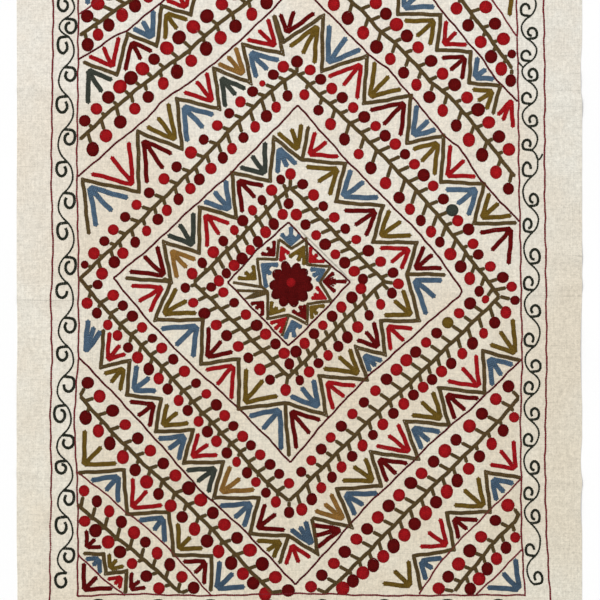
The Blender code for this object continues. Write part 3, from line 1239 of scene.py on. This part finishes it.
class Nodes:
    """A short way to write a material's nodes."""

    def __init__(self, name):
        self.material = bpy.data.materials.new(name)
        self.material.use_nodes = True
        self.tree = self.material.node_tree
        self.shader = self.tree.nodes["Principled BSDF"]

    def feed(self, socket, value):
        """Sets a socket to a number or a colour, or links it to another node's output."""
        if isinstance(value, bpy.types.NodeSocket):
            self.tree.links.new(value, socket)
        else:
            socket.default_value = value

    def add(self, kind, **settings):
        node = self.tree.nodes.new(kind)
        for key, value in settings.items():
            if key in node.inputs:
                self.feed(node.inputs[key], value)
            else:
                setattr(node, key, value)
        return node

    def feed_all(self, node, values):
        """Feeds a node's sockets in their order. Returns its first output."""
        for socket, value in zip(node.inputs, values):
            self.feed(socket, value)
        return node.outputs[0]

    def math(self, operation, *values):
        return self.feed_all(self.add("ShaderNodeMath", operation=operation), values)

    def vector_math(self, operation, *values):
        return self.feed_all(self.add("ShaderNodeVectorMath", operation=operation), values)

    def ramp(self, value, low, high, out_low=0.0, out_high=1.0):
        """The value's run from low to high as one from out_low to out_high."""
        return self.feed_all(self.add("ShaderNodeMapRange"), (value, low, high, out_low, out_high))

    def noise(self, place, scale, detail=2.0, roughness=0.5):
        node = self.add("ShaderNodeTexNoise", Vector=place, Scale=scale, Detail=detail, Roughness=roughness)
        return node.outputs["Fac"]

    def mix(self, share, first, second, blend="MIX"):
        node = self.add("ShaderNodeMix", data_type="RGBA", blend_type=blend)
        self.feed(node.inputs["Factor"], share)
        self.feed(node.inputs[6], first)
        self.feed(node.inputs[7], second)
        return node.outputs[2]

    def tinted(self, colour, value):
        """The colour times a grey value."""
        node = self.add("ShaderNodeVectorMath", operation="SCALE", Scale=value)
        self.feed(node.inputs[0], colour)
        return node.outputs["Vector"]

    def place(self):
        """A point's place on the cloth, and its x and y."""
        place = self.add("ShaderNodeNewGeometry").outputs["Position"]
        x, y, _ = self.add("ShaderNodeSeparateXYZ", Vector=place).outputs
        return place, x, y

    def finish(self, colour, surface, relief=None, strength=0.0, depth=0.0):
        """Gives the shader its colour, its constant settings and its bump."""
        self.feed(self.shader.inputs["Base Color"], colour)
        for name, value in surface.items():
            self.shader.inputs[name].default_value = value
        if relief is not None:
            node = self.add("ShaderNodeBump", Strength=strength, Distance=depth, Height=relief)
            self.feed(self.shader.inputs["Normal"], node.outputs["Normal"])
        return self.material


# The cotton: its colours, tints that darken it towards its low end, within the embroidery and
# towards its right, and between which places each tint sets in
COTTON_COLOUR = (0.775, 0.717, 0.622, 1.0)
COTTON_WARM = (0.755, 0.678, 0.564, 1.0)
COTTON_COOL = (0.795, 0.757, 0.676, 1.0)
LOW_END_TINT = (0.945, 0.935, 0.890, 1.0)
FIELD_TINT = (0.945, 0.920, 0.875, 1.0)
RIGHT_TINT = (0.955, 0.965, 0.965, 1.0)
LOW_END_Y = (0.45, -0.45)
FIELD_X = (0.455, 0.425)
RIGHT_X = (0.30, 0.52)
# Noise scales of its clouds, patches, blots and grain, and of its slubs along and across a thread,
# and scale of its weave
CLOUDS = 14.0
PATCHES = 2.6
BLOTS = 150.0
GRAIN = 420.0
SLUBS_ALONG = 22.0
SLUBS_ACROSS = 420.0
WEAVE = 260.0
# How much streaks, grain and blots lighten and darken it
STREAK_DEPTH = 0.10
GRAIN_DEPTH = 0.17
BLOT_DEPTH = 0.12
# How far a crease wanders, and over what length its ends fade, in metres
CREASE_WANDER = 0.002
CREASE_FADE = 0.01
# The bump: share of the weave in it, and its strength and depth
WEAVE_SHARE = 0.35
COTTON_BUMP = (0.35, 0.0006)
COTTON_SURFACE = {
    "Roughness": 0.93, "Sheen Weight": 0.08, "Sheen Roughness": 0.6, "Specular IOR Level": 0.2,
}

# Painted shade along the sharp creases, and two pencil marks in the first two rows: y at the left
# selvedge, y at the right one, x from, x to, half width, darkness
CREASE_SHADE_AND_PENCIL_MARKS = (
    (0.6665, -0.4489, 0.002, 0.100, 0.0034, 0.55),
    (-0.8208, 0.5680, 0.058, 0.100, 0.0060, 0.10),
    (-0.0325, -0.0325, -0.575, -0.430, 0.0012, 0.30),
    (-0.3780, -0.3850, -0.575, -0.440, 0.0022, 0.05),
    (0.3900, 0.3900, -0.575, -0.430, 0.0020, 0.05),
    (0.0560, 0.0560, 0.530, 0.575, 0.0018, 0.14),
    (0.4208, 0.4208, 0.540, 0.575, 0.0016, 0.12),
    (0.3800, 0.3870, 0.510, 0.575, 0.0020, 0.10),
    (0.3610, 0.3655, 0.548, 0.575, 0.0016, 0.10),
    (0.3570, 0.3535, 0.515, 0.575, 0.0016, 0.12),
    (-0.0050, -0.0250, 0.470, 0.575, 0.0024, 0.09),
    (-0.4010, -0.3990, 0.480, 0.575, 0.0018, 0.08),
)


def painted_crease_shade_and_marks(nodes, x, y):
    """How much the painted shade along the sharp creases, and the two pencil marks, darken the cloth at a
    point.
    """
    total = 0.0
    for left, right, start, end, half_width, darkness in CREASE_SHADE_AND_PENCIL_MARKS:
        line = nodes.math("ADD", nodes.math("MULTIPLY", x, (right - left) / WIDTH), (left + right) / 2)
        away = nodes.math("ABSOLUTE", nodes.math("SUBTRACT", y, line))
        mark = nodes.ramp(away, 0.0, half_width, darkness, 0.0)
        past_start = nodes.ramp(x, start - CREASE_FADE, start + CREASE_FADE)
        before_end = nodes.ramp(x, end - CREASE_FADE, end + CREASE_FADE, 1.0, 0.0)
        mark = nodes.math("MULTIPLY", mark, nodes.math("MULTIPLY", past_start, before_end))
        total = nodes.math("ADD", total, mark)
    return total


def cotton_material():
    """Plain-woven undyed cotton with slubs, mottled by age and handling, with painted shade along its sharp
    creases.
    """
    nodes = Nodes("cotton_ground_look")
    place, x, y = nodes.place()
    slubs = []
    for sizes in ((SLUBS_ALONG, SLUBS_ACROSS, 1.0), (SLUBS_ACROSS, SLUBS_ALONG, 1.0)):
        slubs.append(nodes.noise(nodes.vector_math("MULTIPLY", place, sizes), 1.0, 3.0, 0.6))
    streaks = nodes.math("ADD", *slubs)
    grain = nodes.noise(place, GRAIN, 3.0, 0.7)
    blots = nodes.noise(place, BLOTS, 4.0, 0.65)
    clouds = nodes.noise(place, CLOUDS, 4.0, 0.6)
    patches = nodes.noise(place, PATCHES)

    colour = nodes.mix(nodes.ramp(clouds, 0.38, 0.62), COTTON_COOL, COTTON_COLOUR)
    colour = nodes.mix(nodes.ramp(patches, 0.46, 0.66), colour, COTTON_WARM)
    # Darker towards the low end of the cloth
    toward_low_end = nodes.ramp(y, *LOW_END_Y)
    inside = nodes.ramp(nodes.math("ABSOLUTE", x), *FIELD_X)
    for share, tint in (
        (toward_low_end, LOW_END_TINT),
        (nodes.math("MULTIPLY", toward_low_end, inside), FIELD_TINT),
        (nodes.ramp(x, *RIGHT_X), RIGHT_TINT),
    ):
        colour = nodes.mix(share, colour, tint, "MULTIPLY")

    shade = nodes.ramp(streaks, 0.70, 1.30, 1.0 - STREAK_DEPTH, 1.0 + STREAK_DEPTH)
    shade = nodes.math("ADD", shade, nodes.ramp(grain, 0.25, 0.75, -GRAIN_DEPTH, GRAIN_DEPTH))
    shade = nodes.math("ADD", shade, nodes.ramp(blots, 0.30, 0.70, -BLOT_DEPTH, BLOT_DEPTH))
    # Painted shade along the sharp creases, and two faint pencil marks, darken the cloth
    wander = nodes.ramp(clouds, 0.0, 1.0, -CREASE_WANDER, CREASE_WANDER)
    creases = painted_crease_shade_and_marks(nodes, x, nodes.math("ADD", y, wander))
    colour = nodes.tinted(colour, nodes.math("SUBTRACT", shade, creases))

    threads = []
    for way in ("X", "Y"):
        bands = {"wave_type": "BANDS", "bands_direction": way, "Scale": WEAVE, "Distortion": 0.6}
        threads.append(nodes.add("ShaderNodeTexWave", Vector=place, **bands).outputs["Fac"])
    weave = nodes.math("MULTIPLY", nodes.math("MULTIPLY", *threads), WEAVE_SHARE)
    relief = nodes.math("ADD", weave, nodes.math("ADD", grain, streaks))
    return nodes.finish(colour, COTTON_SURFACE, relief, *COTTON_BUMP)


# Threads, as linear colours
THREADS = {
    "red": (0.375, 0.009, 0.012),
    "maroon": (0.134, 0.004, 0.004),
    "olive": (0.160, 0.096, 0.014),
    "umber": (0.110, 0.070, 0.026),
    "green": (0.050, 0.058, 0.046),
    "blue": (0.086, 0.145, 0.216),
    "ochre": (0.29, 0.145, 0.034),
    "ink": (0.024, 0.028, 0.019),
    "rose": (0.20, 0.022, 0.030),
    "crimson": (0.095, 0.006, 0.010),
    "rosette": (0.112, 0.004, 0.004),
}
# How deep a thread's colour is at the low end of the cloth, against the high end, and between
# which heights that changes
LOW_TONES = {"blue": 0.70}
PLAIN_LOW_TONE = 0.88
HIGH_TONE = 1.06
TONE_Y = (-0.60, 0.28)
# Noise scales of a thread's fuzz and clouds, tones from a stitch's foot to its crest (painted shade at the
# foot and in the groove, painted light on the crest), from one stitch to another, in the clouds and in
# the fuzz, and strength and depth of the bump
FUZZ = 900.0
THREAD_CLOUDS = 60.0
FOOT_SHADE_AND_CREST_LIGHT = (0.55, 1.12)
LUCK_TONES = (0.84, 1.16)
CLOUD_TONES = (0.90, 1.10)
FUZZ_TONES = (0.88, 1.12)
THREAD_BUMP = (0.5, 0.0004)
THREAD_SURFACE = {"Roughness": 0.85, "Specular IOR Level": 0.05}


def thread_material(name, colour):
    """Loosely spun thread: each stitch a little lighter or darker, hollow along its groove, with painted
    shade at its foot and in its groove and painted light on its crest.
    """
    nodes = Nodes("thread_" + name)
    place, _, y = nodes.place()
    stitch = nodes.add("ShaderNodeAttribute", attribute_name="stitch").outputs["Vector"]
    tone, height, luck = nodes.add("ShaderNodeSeparateXYZ", Vector=stitch).outputs
    fuzz = nodes.noise(place, FUZZ, 2.0, 0.6)
    clouds = nodes.noise(place, THREAD_CLOUDS)
    # tone carries a filled round's painted shade at its rim and painted light at its middle
    shade = tone
    # The first factor is painted shade at each stitch's foot and in its groove, and painted light on its
    # crest
    for factor in (
        nodes.ramp(height, 0.0, 1.0, *FOOT_SHADE_AND_CREST_LIGHT),
        nodes.ramp(luck, 0.0, 1.0, *LUCK_TONES),
        nodes.ramp(clouds, 0.3, 0.7, *CLOUD_TONES),
        nodes.ramp(fuzz, 0.2, 0.8, *FUZZ_TONES),
        nodes.ramp(y, *TONE_Y, LOW_TONES.get(name, PLAIN_LOW_TONE), HIGH_TONE),
    ):
        shade = nodes.math("MULTIPLY", shade, factor)
    return nodes.finish(nodes.tinted(colour, shade), THREAD_SURFACE, fuzz, *THREAD_BUMP)


def dress():
    """Works the whole chart in thread, one piece for each kind of motif and thread."""
    chart = Chart().build()
    batches = {}
    for kind, points, rows, thread, pitch in chart.strokes:
        batches.setdefault((kind, thread), []).append(stroke_stitches(points, rows, pitch))
    for x, y, half_long, half_wide, lean, thread in chart.berries:
        found = spiral_stitches(x, y, half_long, half_wide, lean)
        batches.setdefault(("berries", thread), []).append(found)
    rosette = [spiral_stitches(*CENTRE, ROSETTE_DISC, ROSETTE_DISC, 0.0)]
    for degrees, reach, width in PETALS:
        angle = math.radians(degrees)
        x = CENTRE[0] + math.cos(angle) * (reach - PETAL_HALF)
        y = CENTRE[1] + math.sin(angle) * (reach - PETAL_HALF)
        rosette.append(spiral_stitches(x, y, PETAL_HALF, width / 2, angle))
    batches["rosette", "rosette"] = rosette
    batches["heart", "red"] = [spiral_stitches(*CENTRE, ROSETTE_HEART, ROSETTE_HEART, 0.0)]
    materials = {name: thread_material(name, colour) for name, colour in THREADS.items()}
    pieces = []
    for seed, ((kind, thread), found) in enumerate(sorted(batches.items(), key=lambda item: item[0])):
        height = STITCH_HEIGHT * (HEART_RISE if kind == "heart" else 1.0)
        stitches = np.concatenate(found)
        pieces.append(add_stitches(f"{kind}_{thread}", stitches, materials[thread], seed, height))
    return pieces


# The stage: half width, colour and surface of the floor, strengths of the light all round and of
# the window, the window's spread and tilts in degrees, height of the camera, and width and middle
# of its view
FLOOR_REACH = 4.0
FLOOR_COLOUR = (0.97, 0.97, 0.97)
FLOOR_SURFACE = {"Roughness": 0.95}
WORLD_STRENGTH = 0.62
LAMP_STRENGTH = 1.75
LAMP_SPREAD = 28.0
LAMP_TILT = (-26.0, -34.0)
CAMERA_HEIGHT = 3.0
VIEW_WIDTH = 1.2
VIEW_MIDDLE = -0.032


def add_floor():
    """The pale floor under the cloth."""
    nodes = Nodes("floor_white")
    place, _, _ = nodes.place()
    shade = nodes.ramp(nodes.noise(place, 3.0), 0.3, 0.7, 0.985, 1.0)
    material = nodes.finish(nodes.tinted(FLOOR_COLOUR, shade), FLOOR_SURFACE)
    corners = [(-1.0, -1.0, 0.0), (1.0, -1.0, 0.0), (1.0, 1.0, 0.0), (-1.0, 1.0, 0.0)]
    floor = new_piece("floor", np.array(corners) * FLOOR_REACH, np.array([(0, 1, 2, 3)]), material)


def add_lights():
    """White light from all round, and soft light from the upper left."""
    world = bpy.data.worlds.new("studio")
    world.use_nodes = True
    background = world.node_tree.nodes["Background"]
    background.inputs["Color"].default_value = (1.0, 1.0, 1.0, 1.0)
    background.inputs["Strength"].default_value = WORLD_STRENGTH
    bpy.context.scene.world = world
    lamp = bpy.data.lights.new("window", "SUN")
    lamp.energy = LAMP_STRENGTH
    lamp.angle = math.radians(LAMP_SPREAD)
    window = bpy.data.objects.new("window", lamp)
    window.rotation_euler = (math.radians(LAMP_TILT[0]), math.radians(LAMP_TILT[1]), 0.0)
    bpy.context.scene.collection.objects.link(window)


def add_camera():
    """The camera, straight above."""
    camera_data = bpy.data.cameras.new("camera")
    camera_data.lens = CAMERA_HEIGHT * camera_data.sensor_width / VIEW_WIDTH
    camera = bpy.data.objects.new("camera", camera_data)
    camera.location = (CHART_SHIFT, VIEW_MIDDLE, CAMERA_HEIGHT)
    bpy.context.scene.collection.objects.link(camera)
    bpy.context.scene.camera = camera
    bpy.context.scene.view_settings.view_transform = "Standard"


add_floor()
add_lights()
add_camera()
cloth = add_cloth(cotton_material())
embroidery = dress()
for piece in [cloth] + embroidery:
    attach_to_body(piece, "root")
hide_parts("ground_cloth")
